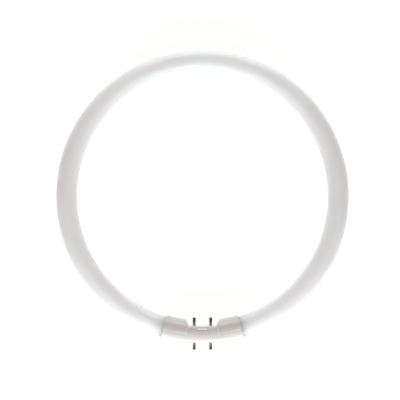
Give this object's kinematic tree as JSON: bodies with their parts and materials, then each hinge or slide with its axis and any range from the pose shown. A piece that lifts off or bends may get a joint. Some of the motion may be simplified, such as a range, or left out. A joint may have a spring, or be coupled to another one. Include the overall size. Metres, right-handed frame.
{
  "type": "circular fluorescent tube",
  "caption": "Slim circular fluorescent tube: a closed white-coated glass ring whose ends meet in a moulded two-shell cap with contact pins on its inner and outer faces.",
  "frame": {"origin": "centre of the ring, in its middle plane", "axes": "+Z along the ring's axis, +Y away from the cap, so the cap stands at -Y; +X to the right"},
  "size_m": [0.225, 0.2305, 0.021],
  "materials": {
    "coated_glass": "clear glass over an even white inner coating",
    "white_cap": "moulded, satin gloss",
    "brass_pin": "dull, slightly tarnished",
    "lead_wire": "drawn wire"
  },
  "bodies": {
    "root": {"glass_tube": "coated_glass", "cap_outer_shell": "white_cap", "cap_inner_shell": "white_cap", "inner_pin_left": "brass_pin", "inner_wire_left": "lead_wire", "inner_pin_right": "brass_pin", "inner_wire_right": "lead_wire", "outer_pin_left": "brass_pin", "outer_wire_left": "lead_wire", "outer_pin_right": "brass_pin", "outer_wire_right": "lead_wire"}
  },
  "joints": []
}
